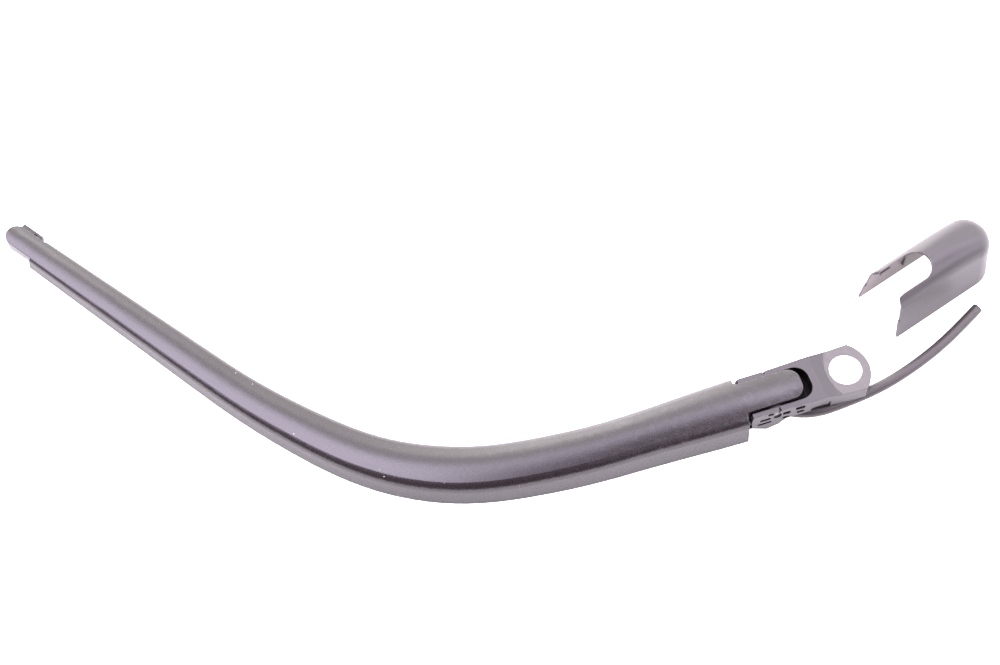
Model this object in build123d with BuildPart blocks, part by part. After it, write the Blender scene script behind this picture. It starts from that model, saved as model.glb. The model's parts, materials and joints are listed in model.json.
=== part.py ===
from build123d import *
import os
from math import cos, hypot, pi, radians, sin, sqrt, tan

os.makedirs("parts", exist_ok=True)

# Sizes are in millimetres. Zero lies on the spindle axis, on the face that the nut sits on.
# The arm reaches out to -X, the hinge pin runs along Y and +Z is away from the windscreen.

# Mounting head
bore_radius = 8.0
hub_half_width = 12.9      # across the hub's square corners, at the height of the ledges
hub_corner_x = 5.8         # where the hub's straight sides end
hub_end_radius = 16.2      # rounded end between those corners
hub_thickness = 7.4
hose_room = 6.1            # free height left under the hub for the washer hose
rim_rise = 2.5             # the fork's rims stand this far above the nut seat
fork_half_width = 11.3     # outside of the fork at its free end, at the height of the ledges
rim_width = 0.8            # thin rim along each side of the slot
rim_step = 1.0             # height of a rim above the ledge outside it
rim_end_x = -18.0          # where the rims run out
wall_draft = 2.5           # slope of the cast walls, in degrees
seat_radius = 22.0         # the nut seat is faced flat within this radius
seat_x = 12.0              # of the hub's far end
recess_end_x = -19.0       # where the fork's slot ends, towards the hub
recess_corner = 7.0
web_thickness = 1.8        # thin floor under the slot's end
web_gap = 0.4              # from that floor to the path of the tongue's end
ramp_back = 1.5            # ramp to the nut seat starts this far before the slot's end
ramp_end_x = -9.0
seat_lip = 0.4             # nut seat is faced this far into the casting
cheek_end_radius = 13.4    # cheeks' rounded ends, about the hinge pin
pocket_floor = 1.0         # cheek left behind each pocket
pocket_corner = 0.5
# pockets in each cheek: centre along and above the hinge pin, width, height
pockets = (
    (-3.8, 2.9, 3.0, 1.9),
    (-6.4, -0.6, 5.6, 1.8),
    (-6.6, -3.8, 7.4, 1.7),
    (4.6, 0.5, 3.8, 2.4),
    (4.4, -3.4, 3.4, 1.8),
    (11.6, 1.8, 4.8, 2.4),
    (11.8, -1.7, 3.8, 1.8),
)
notch_x, notch_width, notch_height = 1.2, 1.0, 4.0  # slit across each ledge, beside the hinge pin
notch_lean = 35.0
relief_start, relief_end = 17.5, 27.5               # hollow for the hose, from the hinge pin
relief_low, relief_high = -2.2, 0.4                 # its sloping top, above the hinge pin
relief_depth = 1.6
cheek_foot = 0.5           # height of the cheeks above the surface the arm lies on
foot_rise = 1.4            # of the feet towards the hub
foot_start, foot_end, foot_run = 5.0, 1.0, 4.0      # foot before and past the hinge pin, then its slope
chin_drop = 5.5            # the rounded end turns into a slope this far below the hinge pin

# Hinge
hinge_x = -40.0
hinge_height = 10.5        # above the surface the arm lies on
hinge_pin_radius = 2.2
bush_wall = 0.8
bush_play = 0.05           # radial play of the bushes on the pin
lug_ring = 1.6             # sheet left round each bush
lug_top_drop = 2.56        # tops of the lugs, inside the web, below the crown of the channel
washer_thickness = 0.7
washer_play = 0.05         # side play at each face of a washer
washer_margin = 0.3        # a washer is this much smaller than its lug, all round
pin_recess = 0.9           # the pin's ends sit this far inside the cheeks

# Arm: one pressed channel with a rounded top, open below
sheet = 1.6
tongue_half_width = 8.0
tongue_corner = 6.0
tongue_reach = 15.7        # tongue past the hinge pin, towards the hub
tongue_rim_depth = 8.5     # its turned-down edge, below the crown of the channel
channel_end_gap = 15.6     # full-width channel stops this far short of the hinge pin
root_round = 1.6           # rounded inner corners at the root of the tongue
flange_flare = 8.0         # lean of the channel's sides, in degrees
straight_run = 56.4
bend_1_radius, bend_1_angle = 355.0, 10.0
bend_2_radius, bend_2_angle = 133.0, 35.0
bend_3_radius, bend_3_angle = 390.0, 11.0
tip_run = 139.0
hinge_end_width, hinge_end_depth = 31.0, 18.0
waist_at, waist_width, waist_depth = 55.0, 27.0, 16.9
elbow_at, elbow_width, elbow_depth = 150.0, 27.4, 14.8
middle_at, middle_width, middle_depth = 262.0, 20.4, 11.2
tip_width, tip_depth = 14.8, 7.6
section_count = 24
shoulder_share = 0.80      # height of the shoulder corners, as a share of the depth
round_share = 0.36         # rounding of the shoulders, as a share of the depth

# Blade end of the arm
blade_tongue_half = 5.8
blade_tongue_length = 20.5
lip_thickness = 1.2
lip_slit = 0.9
lip_length = 13.0
lip_start = 3.6            # back from the rounded end
lip_joined = 8.0           # length over which the lip is joined to the tongue
lip_bite = 0.4             # overlap that joins it
lip_foot = 2.6             # above the surface the arm lies on
lip_height = 3.4

# Spring and its hook
spring_pin_drop = 6.8      # spring pin below the hinge pin
spring_pin_radius = 1.8
spring_pin_seat = 1.4      # length held in the far cheek
spring_pin_end = 1.9       # free end of the pin, past the middle of the fork
hook_play = 0.05
hook_eye_wall = 1.5
hook_thickness = 2.4
hook_strip = 3.0
hook_sag = 1.1             # the strip runs this far below the line of pull
hook_length = 24.0
anchor_distance = 86.0     # spring anchor from the hinge pin
anchor_height = 9.0
anchor_width = 2.4
spring_wire = 1.8
spring_radius = 3.8        # to the middle of the wire
spring_pitch = 2.6
loop_hole_radius = 1.7
loop_radius = 3.0          # end loops, to the middle of the wire
leg_share = 0.9            # wire is drawn thinner where it leaves the coil
loop_grip = 0.05           # near loop is drawn this far into its eye
loop_play = 0.3            # far loop stays this far off its eye
anchor_eye_wall = 1.6
anchor_pad_gap = 4.0
anchor_pad_back = 4.0
anchor_pad_length = 12.0
anchor_pad_width = 9.0

# Washer hose and what holds it
hose_diameter = 5.5
hose_lift = 0.1            # gap between the hose and the surface it lies on
hose_bend_share = 0.45     # of the shorter run beside each bend, taken up by its arc
# route of the hose in plan, from the nozzle to its cut end
hose_route = (
    (-138.0, -7.2),
    (-104.0, -8.3),
    (-68.0, -7.2),
    (-34.5, -4.4),
    (-18.5, -11.2),
    (-1.0, -11.2),
    (20.0, -8.6),
    (41.0, -2.5),
    (61.2, 6.3),
    (80.4, 16.2),
)
nozzle_length = 13.0
nozzle_width = 17.0
nozzle_floor = 1.2
nozzle_side = 1.0          # block past the hose, on its near side
barb_radius = 1.5
barb_length = 8.0
clip_setback = 15.0        # clip from the end of the channel
clip_length = 5.0
clip_inner = 5.3           # inner edge of the clip, from the middle of the channel
clip_height = 8.6

# Nut cap, taken off and lying beside the arm
cap_length = 68.4
cap_half_width = 15.0
cap_height = 32.0
cap_wall = 1.3
cap_draft = 7.0
cap_round = 10.5
cap_round_limit = 0.95     # largest share of the roof's half width taken by its rounding
cap_level = 34.0           # the roof is level so far, then drops towards the round end
cap_roof_radius = 105.0
cap_slot_play = 0.2        # slot of the cap beside the tongue
cap_slot_length = 26.4
cap_leg_round = 4.0        # upper corners of the legs
cap_tab_height = 13.0
cap_tab_step = 0.7         # above its tab a leg ends this far back
cap_lug_at, cap_lug_height = 10.0, 19.0
cap_lug_length, cap_lug_depth, cap_lug_thickness = 6.0, 2.0, 2.4
cap_lug_bite = 0.6         # lugs reach this far into the wall
cap_rib_at, cap_rib_thickness = 24.5, 1.6
cap_rib_foot, cap_rib_half = 12.0, 10.6             # ribs start at this height, this far apart
cap_x, cap_y, cap_turn = 32.1, 29.3, 17.0

# Places worked out from those sizes
table_z = -(hub_thickness + hose_room)
rim_z = rim_rise
hub_bottom_z = -hub_thickness
hinge_z = table_z + hinge_height
lug_half = tongue_half_width
cheek_inner = lug_half + washer_thickness + 2 * washer_play
bush_radius = hinge_pin_radius + bush_play + bush_wall
lug_radius = bush_radius + lug_ring
channel_end_x = hinge_x - channel_end_gap
tongue_end_x = hinge_x + tongue_reach
spring_pin_z = hinge_z - spring_pin_drop
anchor_x = hinge_x - anchor_distance
anchor_z = table_z + anchor_height
foot_z = table_z + cheek_foot
rim_half = cheek_inner + rim_width
ledge_z = rim_z - rim_step
lug_top_z = table_z + hinge_end_depth - lug_top_drop
tongue_swing = hypot(tongue_reach, table_z + hinge_end_depth - hinge_z)
tongue_rim_z = table_z + hinge_end_depth - tongue_rim_depth
through = 60.0             # longer than any cut needs
cut_lead = 1.0             # cuts start this far outside a piece


def side_plane(y):
    """Upright plane facing -Y at this y, with sketch x along X and sketch y along Z."""
    return Plane(origin=(0, y, 0), x_dir=(1, 0, 0), z_dir=(0, -1, 0))


def save(builder, name):
    """Label a finished piece and write its file."""
    builder.part.label = name
    export_step(builder.part, f"parts/{name}.step")


# Line that the arm follows in plan, from the end of its tongue to the blade end
with BuildLine() as arm_line:
    root_run = Line((tongue_end_x, 0), (channel_end_x - straight_run, 0))
    bend_1 = JernArc(root_run @ 1, root_run % 1, bend_1_radius, -bend_1_angle)
    bend_2 = JernArc(bend_1 @ 1, bend_1 % 1, bend_2_radius, -bend_2_angle)
    bend_3 = JernArc(bend_2 @ 1, bend_2 % 1, bend_3_radius, -bend_3_angle)
    outer_run = Line(bend_3 @ 1, bend_3 @ 1 + (bend_3 % 1) * tip_run)
arm_wire = arm_line.wire()
root_length = tongue_end_x - channel_end_x
arm_length = arm_wire.length - root_length

stations = (0.0, waist_at, elbow_at, middle_at, arm_length)
widths = (hinge_end_width, waist_width, elbow_width, middle_width, tip_width)
depths = (hinge_end_depth, waist_depth, elbow_depth, middle_depth, tip_depth)


def size_at(distance, sizes):
    """Size of the channel at a distance from its wide end."""
    for i in range(len(stations) - 1):
        if distance <= stations[i + 1] or i == len(stations) - 2:
            share = max(0.0, distance - stations[i]) / (stations[i + 1] - stations[i])
            return sizes[i] + share * (sizes[i + 1] - sizes[i])


def arm_plane(along):
    """Plane square to the arm at a length along its line, with sketch y upwards."""
    spot = arm_wire.position_at(along, position_mode=PositionMode.LENGTH)
    way = arm_wire.tangent_at(along, position_mode=PositionMode.LENGTH)
    return Plane(origin=(spot.X, spot.Y, table_z), x_dir=(-way.Y, way.X, 0), z_dir=way)


def channel_blank(inset):
    """Solid bar with the channel's outline, drawn in on all sides but the open one."""
    lean = tan(radians(flange_flare))
    foot = -cut_lead if inset else 0.0
    with BuildPart() as bar:
        for k in range(section_count):
            along = arm_wire.length * k / (section_count - 1)
            depth = size_at(along - root_length, depths)
            half = size_at(along - root_length, widths) / 2 - inset / cos(radians(flange_flare))
            corner = shoulder_share * depth - inset
            with BuildSketch(arm_plane(along)) as section:
                with BuildLine():
                    Line((half - corner * lean, corner), (half - foot * lean, foot))
                    Line((half - foot * lean, foot), (-half + foot * lean, foot))
                    Line((-half + foot * lean, foot), (-half + corner * lean, corner))
                    ThreePointArc(
                        (-half + corner * lean, corner), (0, depth - inset), (half - corner * lean, corner)
                    )
                make_face()
                fillet(section.vertices().group_by(Axis.Y)[-1], round_share * depth - inset)
        loft()
    return bar.part


bar_outside = channel_blank(0.0)
bar_inside = channel_blank(sheet)
tip = arm_wire.position_at(1)
tip_way = arm_wire.tangent_at(1)
tip_plane = Plane(origin=(tip.X, tip.Y, table_z), x_dir=tip_way, z_dir=(0, 0, 1))


def tongue_plan(inset):
    """Outline of the tongue seen from above, drawn in by inset at its sides and round end."""
    back_x = channel_end_x - 2 * tongue_corner
    end_x = tongue_end_x - inset
    with BuildSketch() as plan:
        with Locations(((back_x + end_x) / 2, 0)):
            Rectangle(end_x - back_x, 2 * (tongue_half_width - inset))
        fillet(plan.vertices().group_by(Axis.X)[-1], tongue_corner - inset)
    return plan.sketch


# Turned-down edge round the tongue, up to the outside of its web
with BuildPart() as tongue_rim:
    with BuildSketch(Plane.XY.offset(tongue_rim_z)):
        add(tongue_plan(0.0))
        add(tongue_plan(sheet), mode=Mode.SUBTRACT)
        with Locations((channel_end_x - through / 2, 0)):
            Rectangle(through, through, mode=Mode.SUBTRACT)
    extrude(amount=through)
    add(bar_outside, mode=Mode.INTERSECT)

# Wiper arm: pressed steel channel, its web drawn out to a tongue that fits between the fork's cheeks
with BuildPart() as wiper_arm:
    add(bar_outside)
    add(bar_inside, mode=Mode.SUBTRACT)
    # beside the tongue the shoulders and sides are cut away, with round inner corners
    with BuildSketch(Plane.XY.offset(table_z - cut_lead)) as beside_tongue:
        with Locations(((channel_end_x + through / 2), 0)):
            Rectangle(through, through)
        add(tongue_plan(0.0), mode=Mode.SUBTRACT)
        roots = beside_tongue.vertices().group_by(Axis.X)[0].sort_by(Axis.Y)[1:3]
        fillet(roots, root_round)
    extrude(amount=through, mode=Mode.SUBTRACT)
    # its edge is turned down, and on each side a lug carries a bush
    add(tongue_rim.part)
    for y in (-lug_half + sheet, lug_half):
        with BuildSketch(side_plane(y)):
            with Locations((hinge_x, hinge_z)):
                Circle(lug_radius)
            with Locations((hinge_x, (hinge_z + lug_top_z) / 2)):
                Rectangle(2 * lug_radius, lug_top_z - hinge_z)
        extrude(amount=sheet)
    with BuildSketch(Plane.XZ):
        with Locations((hinge_x, hinge_z)):
            Circle(bush_radius)
    extrude(amount=lug_half, both=True, mode=Mode.SUBTRACT)
    # the blade end loses both sides and is rounded off
    with BuildSketch(tip_plane.offset(-cut_lead)):
        with Locations((0, 0)):
            Rectangle(2 * blade_tongue_length, through)
        with Locations((-blade_tongue_length / 2 - blade_tongue_half, 0)):
            Rectangle(blade_tongue_length, 2 * blade_tongue_half, mode=Mode.SUBTRACT)
        with Locations((-blade_tongue_half, 0)):
            Circle(blade_tongue_half, mode=Mode.SUBTRACT)
    extrude(amount=through, mode=Mode.SUBTRACT)
    # a thin lip stands beside the far edge of the blade end, joined to it near the tip
    with BuildSketch(tip_plane.offset(lip_foot)):
        with Locations((-lip_start - lip_length / 2, -blade_tongue_half - lip_slit - lip_thickness / 2)):
            Rectangle(lip_length, lip_thickness)
        with Locations((-lip_start - lip_joined / 2, -blade_tongue_half - lip_slit / 2)):
            Rectangle(lip_joined, lip_slit + 2 * lip_bite)
    extrude(amount=lip_height)
save(wiper_arm, "wiper_arm")


def head_blank(side, height, taper):
    """Solid on the ledges' level; side lists its near edge in plan, from the hub's corner outwards."""
    bow = hub_end_radius - sqrt(hub_end_radius**2 - hub_half_width**2)
    far_side = [(x, -y) for x, y in reversed(side)]
    with BuildPart() as blank:
        with BuildSketch(Plane.XY.offset(ledge_z)):
            with BuildLine():
                Polyline(*side, *far_side)
                ThreePointArc(far_side[-1], (hub_corner_x + bow, 0), side[0])
            make_face()
        extrude(amount=height, taper=taper)
    return blank.part


hub_corner = (hub_corner_x, -hub_half_width)
cheek_start_x = hinge_x - cheek_end_radius - cut_lead
outer_slope = (hub_half_width - fork_half_width) / (hub_corner_x - hinge_x)
rim_end_half = fork_half_width + outer_slope * (rim_end_x - hinge_x)

# Mounting head: die-cast fork with a hub, pockets in the sides of its cheeks
with BuildPart() as mounting_head:
    ledge_side = [hub_corner, (hinge_x, -fork_half_width), (cheek_start_x, -fork_half_width)]
    add(head_blank(ledge_side, table_z - ledge_z, -wall_draft))
    rim_side = [hub_corner, (rim_end_x, -rim_end_half), (rim_end_x, -rim_half), (cheek_start_x, -rim_half)]
    add(head_blank(rim_side, rim_step, wall_draft))
    # seen from the side: round about the hinge pin, sloping feet, flat hub under a ramp
    with BuildSketch(Plane.XZ) as side:
        with BuildLine():
            up = sqrt(cheek_end_radius**2 - (rim_z - hinge_z) ** 2)
            down = sqrt(cheek_end_radius**2 - chin_drop**2)
            Polyline(
                (hinge_x - down, hinge_z - chin_drop),
                (hinge_x - foot_start, foot_z),
                (hinge_x + foot_end, foot_z + foot_rise),
                (hinge_x + foot_end + foot_run, hub_bottom_z),
                (through, hub_bottom_z),
                (through, seat_lip),
                (ramp_end_x, seat_lip),
                (recess_end_x - ramp_back, rim_z),
                (hinge_x - up, rim_z),
            )
            ThreePointArc(
                (hinge_x - up, rim_z),
                (hinge_x - cheek_end_radius, hinge_z),
                (hinge_x - down, hinge_z - chin_drop),
            )
        make_face()
    extrude(amount=through, both=True, mode=Mode.INTERSECT)
    # slot between the cheeks: open below where the tongue's end swings, with a thin floor past that
    swing_end_x = hinge_x + tongue_swing + web_gap
    web_z = hub_bottom_z + web_thickness
    for end_x, low_z in ((swing_end_x, table_z - cut_lead), (recess_end_x, web_z)):
        with BuildSketch(Plane.XY.offset(low_z)) as fork_slot:
            with Locations((end_x - through / 2, 0)):
                Rectangle(through, 2 * cheek_inner)
            fillet(fork_slot.vertices().group_by(Axis.X)[-1], recess_corner)
        extrude(amount=through, mode=Mode.SUBTRACT)
    # nut seat and spindle bore
    with BuildSketch(Plane.XY):
        with Locations((seat_x, 0)):
            Circle(seat_radius)
    extrude(amount=through, mode=Mode.SUBTRACT)
    with BuildSketch(Plane.XY.offset(table_z)):
        Circle(bore_radius)
    extrude(amount=through, mode=Mode.SUBTRACT)
    # hinge pin holes, and a blind seat for the spring pin in the far cheek
    with BuildSketch(Plane.XZ):
        with Locations((hinge_x, hinge_z)):
            Circle(hinge_pin_radius)
    extrude(amount=through, both=True, mode=Mode.SUBTRACT)
    with BuildSketch(side_plane(cheek_inner + spring_pin_seat)):
        with Locations((hinge_x, spring_pin_z)):
            Circle(spring_pin_radius)
    extrude(amount=cheek_inner, mode=Mode.SUBTRACT)
    # pockets that thin the cheeks, a slanting slit across each ledge and a hollow for the hose
    for way in (1, -1):
        with BuildSketch(side_plane(-way * (cheek_inner + pocket_floor))):
            for x, z, wide, high in pockets:
                with Locations((hinge_x + x, hinge_z + z)):
                    RectangleRounded(wide, high, pocket_corner)
        extrude(amount=way * through, mode=Mode.SUBTRACT)
        with BuildSketch(side_plane(-way * rim_half)):
            with Locations((hinge_x + notch_x, ledge_z)):
                Rectangle(notch_width, notch_height, rotation=-notch_lean)
        extrude(amount=way * through, mode=Mode.SUBTRACT)
        with BuildSketch(side_plane(-way * (fork_half_width + outer_slope * relief_start - relief_depth))):
            with BuildLine():
                Polyline(
                    (hinge_x + relief_start, table_z),
                    (hinge_x + relief_start, hinge_z + relief_low),
                    (hinge_x + relief_end, hinge_z + relief_high),
                    (hinge_x + relief_end, table_z),
                    close=True,
                )
            make_face()
        extrude(amount=way * through, mode=Mode.SUBTRACT)
save(mounting_head, "mounting_head")


# Hinge pin: plain steel rivet through the cheeks and both bushes
cheek_outer = fork_half_width + (ledge_z - hinge_z) * tan(radians(wall_draft))
with BuildPart() as hinge_pin:
    with BuildSketch(Plane.XZ):
        with Locations((hinge_x, hinge_z)):
            Circle(hinge_pin_radius)
    extrude(amount=cheek_outer - pin_recess, both=True)
save(hinge_pin, "hinge_pin")


# Bushes in the arm's lugs, and a thin washer outside each
for name, y in (("near", -lug_half), ("far", lug_half - sheet)):
    with BuildPart() as hinge_bush:
        with BuildSketch(side_plane(y + sheet)):
            with Locations((hinge_x, hinge_z)):
                Circle(bush_radius)
                Circle(hinge_pin_radius + bush_play, mode=Mode.SUBTRACT)
        extrude(amount=sheet)
    save(hinge_bush, f"hinge_bush_{name}")
for name, y in (("near", -lug_half - washer_play), ("far", lug_half + washer_play + washer_thickness)):
    with BuildPart() as hinge_washer:
        with BuildSketch(side_plane(y)):
            with Locations((hinge_x, hinge_z)):
                Circle(lug_radius - washer_margin)
                Circle(hinge_pin_radius, mode=Mode.SUBTRACT)
        extrude(amount=washer_thickness)
    save(hinge_washer, f"hinge_washer_{name}")


# Spring pin: stub held in a blind seat in the far cheek, below the hinge pin, clear of the hose
with BuildPart() as spring_pin:
    with BuildSketch(side_plane(cheek_inner + spring_pin_seat)):
        with Locations((hinge_x, spring_pin_z)):
            Circle(spring_pin_radius)
    extrude(amount=cheek_inner + spring_pin_seat + spring_pin_end)
save(spring_pin, "spring_pin")

# The line of pull runs from the spring pin to the anchor under the arm's web
pull_x, pull_z = anchor_x - hinge_x, anchor_z - spring_pin_z
pull_length = hypot(pull_x, pull_z)
pull_way = (pull_x / pull_length, 0, pull_z / pull_length)


def pull_plane(y):
    """Upright plane on the line of pull: sketch x towards the anchor, sketch y upwards."""
    return Plane(origin=(hinge_x, y, spring_pin_z), x_dir=pull_way, z_dir=(0, 1, 0))


# Spring hook: steel strip that turns on the spring pin and passes under the hinge pin
with BuildPart() as spring_hook:
    with BuildSketch(pull_plane(-hook_thickness / 2)):
        Circle(spring_pin_radius + hook_play + hook_eye_wall)
        with Locations((hook_length / 2, -hook_sag)):
            Rectangle(hook_length, hook_strip)
        with Locations((hook_length, 0)):
            Circle(loop_hole_radius + hook_eye_wall)
            Circle(loop_hole_radius, mode=Mode.SUBTRACT)
        Circle(spring_pin_radius + hook_play, mode=Mode.SUBTRACT)
    extrude(amount=hook_thickness)
save(spring_hook, "spring_hook")


# Spring anchor: steel bracket under the web, shaped to it, with an eye for the spring's far loop
with BuildPart() as spring_anchor:
    with BuildSketch(Plane.XY.offset(anchor_z + anchor_pad_gap)):
        with Locations((anchor_x - anchor_pad_back, 0)):
            Rectangle(anchor_pad_length, anchor_pad_width)
    extrude(amount=through)
    with BuildSketch(side_plane(anchor_width / 2)):
        with Locations((anchor_x, anchor_z)):
            Circle(loop_hole_radius + anchor_eye_wall)
        with Locations((anchor_x - anchor_pad_back / 2, anchor_z + through / 2)):
            Rectangle(anchor_pad_back + 2 * loop_hole_radius, through)
    extrude(amount=anchor_width)
    add(bar_inside, mode=Mode.INTERSECT)
    with BuildSketch(Plane.XZ):
        with Locations((anchor_x, anchor_z)):
            Circle(loop_hole_radius)
    extrude(amount=through, both=True, mode=Mode.SUBTRACT)
save(spring_anchor, "spring_anchor")


# Tension spring: close coil with a loop at each end, lying along the line of pull
wire_radius = spring_wire / 2
near_bow = loop_radius - sqrt(loop_radius**2 - (hook_thickness / 2) ** 2)
far_bow = loop_radius - sqrt(loop_radius**2 - (anchor_width / 2) ** 2)
near_eye = hook_length + loop_hole_radius - wire_radius - near_bow + loop_grip
far_eye = pull_length - loop_hole_radius + wire_radius + far_bow + loop_play
coil_start = near_eye + 2 * loop_radius
coil_end = far_eye - 2 * loop_radius


def on_pull(distance):
    """Point on the line of pull at a distance from the spring pin."""
    return pull_plane(0).from_local_coords((distance, 0, 0))


with BuildPart() as tension_spring:
    with BuildLine():
        coil = Helix(spring_pitch, coil_end - coil_start, spring_radius, on_pull(coil_start), pull_way)
    with BuildSketch(Plane(origin=coil @ 0, z_dir=coil % 0)):
        Circle(wire_radius)
    sweep(path=coil, is_frenet=True)
    up_way = pull_plane(0).y_dir
    near_loop = (near_eye + loop_radius, coil @ 0, coil_start)
    far_loop = (far_eye - loop_radius, coil @ 1, coil_end)
    for middle, end, far in (near_loop, far_loop):
        with Locations(Plane(origin=on_pull(middle), z_dir=up_way)):
            Torus(loop_radius, wire_radius)
        leg = end - on_pull(far)
        with BuildSketch(Plane(origin=on_pull(far), z_dir=leg)):
            Circle(leg_share * wire_radius)
        extrude(amount=leg.length + wire_radius / 2)
save(tension_spring, "tension_spring")


# Washer hose: rubber tube from the nozzle, past the hinge, lying free to its cut end
hose_z = table_z + hose_lift + hose_diameter / 2
hose_points = [Vector(x, y, hose_z) for x, y in hose_route]
hose_radii = []
for a, b, c in zip(hose_points, hose_points[1:], hose_points[2:]):
    turn = radians((b - a).get_angle(c - b))
    hose_radii.append(hose_bend_share * min((b - a).length, (c - b).length) / tan(turn / 2))
hose_start = Plane(origin=hose_points[0], z_dir=hose_points[1] - hose_points[0])
with BuildPart() as washer_hose:
    with BuildLine() as hose_line:
        FilletPolyline(*hose_points, radius=hose_radii)
    with BuildSketch(hose_start):
        Circle(hose_diameter / 2)
        Circle(barb_radius, mode=Mode.SUBTRACT)
    sweep()
hose_length = hose_line.wire().length
hose_section = pi * ((hose_diameter / 2) ** 2 - barb_radius**2)
hose_ratio = washer_hose.part.volume / (hose_section * hose_length)
print("hose bends", [round(r) for r in hose_radii], "length", round(hose_length, 1))
print("hose volume over section times length", round(hose_ratio, 4))
save(washer_hose, "washer_hose")


# Spray nozzle: plastic block snapped under the web, with a barb that the hose is pushed on
nozzle_way = (hose_points[1] - hose_points[0]).normalized()
nozzle_plane = Plane(origin=hose_points[0], x_dir=nozzle_way, z_dir=(0, 0, 1))
with BuildPart() as spray_nozzle:
    with BuildSketch(nozzle_plane.offset(table_z + nozzle_floor - hose_z)):
        with Locations((-nozzle_length / 2, nozzle_width / 2 - hose_diameter / 2 - nozzle_side)):
            Rectangle(nozzle_length, nozzle_width)
    extrude(amount=through)
    add(bar_inside, mode=Mode.INTERSECT)
    with BuildSketch(hose_start):
        Circle(barb_radius)
    extrude(amount=barb_length)
save(spray_nozzle, "spray_nozzle")


# Hose clip: plastic saddle that holds the hose against the near side of the channel
clip_x = channel_end_x - clip_setback
with BuildPart() as hose_clip:
    with BuildSketch(Plane.XY.offset(hose_z)):
        with Locations((clip_x, -clip_inner - through / 2)):
            Rectangle(clip_length, through)
    extrude(amount=table_z + clip_height - hose_z)
    add(bar_inside, mode=Mode.INTERSECT)
    with BuildSketch(hose_start):
        Circle(hose_diameter / 2)
    sweep(path=hose_line.wire(), mode=Mode.SUBTRACT)
save(hose_clip, "hose_clip")


# Nut cap: moulded cover with a round end, open below, slotted for the arm's tongue
cap_way = (cos(radians(cap_turn)), sin(radians(cap_turn)), 0)
cap_plane = Plane(origin=(cap_x, cap_y, table_z), x_dir=cap_way, z_dir=(0, 0, 1))
cap_side = Plane(origin=(cap_x, cap_y, table_z), x_dir=cap_way, z_dir=(cap_way[1], -cap_way[0], 0))
cap_lead = cap_half_width  # blanks start this far before the legs' ends
roof_half = cap_half_width - cap_height * tan(radians(cap_draft))
roof_share = tan(radians(90 - cap_draft) / 2)
roof_round = min(cap_round, cap_round_limit * roof_half / roof_share)


def cap_blank(inset):
    """Solid with the cap's outline, drawn in by inset on its sides, end and roof."""
    top = cap_height - inset
    reach = cap_length + cap_half_width
    arc_radius = cap_roof_radius - inset
    arc_z = top - arc_radius
    bend = (cap_level + reach) / 2
    with BuildPart() as blank:
        with BuildSketch(cap_plane):
            half = cap_half_width - inset
            end = cap_length - cap_half_width
            with Locations((end, 0)):
                Circle(half)
            with Locations(((end - cap_lead) / 2, 0)):
                Rectangle(end + cap_lead, 2 * half)
        extrude(amount=top, taper=cap_draft)
        # seen from the side the roof is level over the slot, then drops on a wide arc
        with BuildSketch(cap_side):
            with BuildLine():
                Polyline(
                    (cap_level, top),
                    (-2 * cap_lead, top),
                    (-2 * cap_lead, 0),
                    (reach, 0),
                    (reach, arc_z + sqrt(arc_radius**2 - (reach - cap_level) ** 2)),
                )
                ThreePointArc(
                    (reach, arc_z + sqrt(arc_radius**2 - (reach - cap_level) ** 2)),
                    (bend, arc_z + sqrt(arc_radius**2 - (bend - cap_level) ** 2)),
                    (cap_level, top),
                )
            make_face()
        extrude(amount=through, both=True, mode=Mode.INTERSECT)
        roof = blank.faces().filter_by(lambda f: f.normal_at().Z > 0.7)
        across = Vector(-cap_way[1], cap_way[0], 0)
        rounded = roof.edges().filter_by(
            lambda e: abs((e % 0.5).dot(across)) < 0.99 or e.geom_type != GeomType.LINE
        )
        fillet(rounded, roof_round - inset)
    return blank.part


# height of the roof's rounded edge where the slot cuts it
slot_half = tongue_half_width + cap_slot_play
roof_flat = roof_half - roof_round * roof_share
slot_edge = cap_height - roof_round + sqrt(roof_round**2 - max(0.0, slot_half - roof_flat) ** 2)

with BuildPart() as cap_ribs:
    with BuildSketch(cap_plane.offset(cap_rib_foot)):
        with Locations((cap_rib_at, 0)):
            Rectangle(cap_rib_thickness, through)
            Rectangle(cap_rib_thickness, 2 * cap_rib_half, mode=Mode.SUBTRACT)
    extrude(amount=through)
    add(cap_blank(cap_wall / 2), mode=Mode.INTERSECT)

with BuildPart() as nut_cap:
    add(cap_blank(0.0))
    add(cap_blank(cap_wall), mode=Mode.SUBTRACT)
    add(cap_ribs.part)
    # slot over the tongue, with a round end
    with BuildSketch(cap_plane.offset(cap_height / 2)):
        with Locations(((cap_slot_length - slot_half - cap_lead) / 2, 0)):
            Rectangle(cap_slot_length - slot_half + cap_lead, 2 * slot_half)
        with Locations((cap_slot_length - slot_half, 0)):
            Circle(slot_half)
    extrude(amount=through, mode=Mode.SUBTRACT)
    # each leg ends upright, a little further back above its tab and with a rounded upper corner
    with BuildSketch(cap_side):
        with BuildLine():
            Polyline(
                (cap_tab_step + cap_leg_round, slot_edge),
                (cap_tab_step + cap_leg_round, cap_height + cap_wall),
                (-2 * cap_lead, cap_height + cap_wall),
                (-2 * cap_lead, -cap_wall),
                (0, -cap_wall),
                (0, cap_tab_height),
                (cap_tab_step, cap_tab_height),
                (cap_tab_step, slot_edge - cap_leg_round),
            )
            CenterArc((cap_tab_step + cap_leg_round, slot_edge - cap_leg_round), cap_leg_round, 90, 90)
        make_face()
    extrude(amount=through, both=True, mode=Mode.SUBTRACT)
    # snap lugs inside both legs
    for way in (1, -1):
        lug_wall = cap_half_width - cap_wall - tan(radians(cap_draft)) * cap_lug_height
        with BuildSketch(cap_plane.offset(cap_lug_height)):
            with Locations((cap_lug_at, way * (lug_wall - cap_lug_depth / 2 + cap_lug_bite))):
                Rectangle(cap_lug_length, cap_lug_depth)
        extrude(amount=cap_lug_thickness)
save(nut_cap, "nut_cap")
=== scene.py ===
import json
import math

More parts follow.
